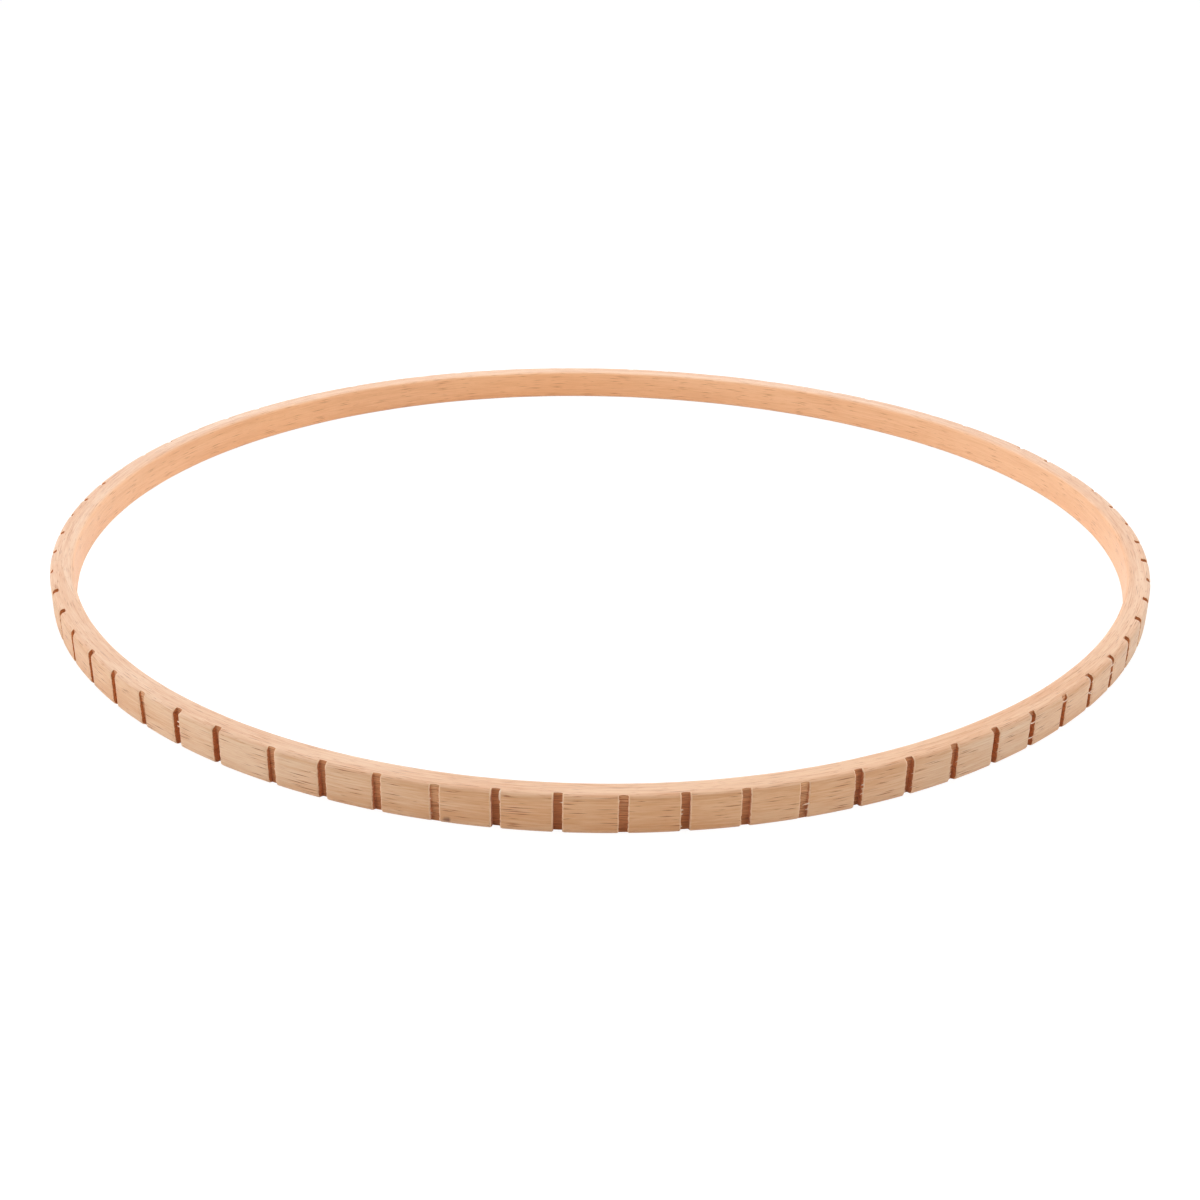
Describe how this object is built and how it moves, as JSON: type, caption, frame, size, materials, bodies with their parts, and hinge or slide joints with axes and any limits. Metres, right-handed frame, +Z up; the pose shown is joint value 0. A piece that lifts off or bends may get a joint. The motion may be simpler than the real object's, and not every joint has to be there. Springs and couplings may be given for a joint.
{
  "type": "circular weaving loom",
  "caption": "Round weaving loom: a bent beech hoop closed by a glued scarf joint, with saw-cut notches all round its outer face that hold the warp threads.",
  "frame": {"origin": "on the table, under the middle of the hoop's outline", "axes": "+Z up through the hoop, square to its flat faces; the side nearest the viewer in the picture is -Y"},
  "size_m": [0.2844, 0.2766, 0.0087],
  "materials": {
    "beech": "planed and lightly sanded bare beech, matt",
    "dried_glue": "dried wood glue, flush with the wood"
  },
  "bodies": {
    "root": {"hoop_lath": "beech", "scarf_glue": "dried_glue"}
  },
  "joints": []
}
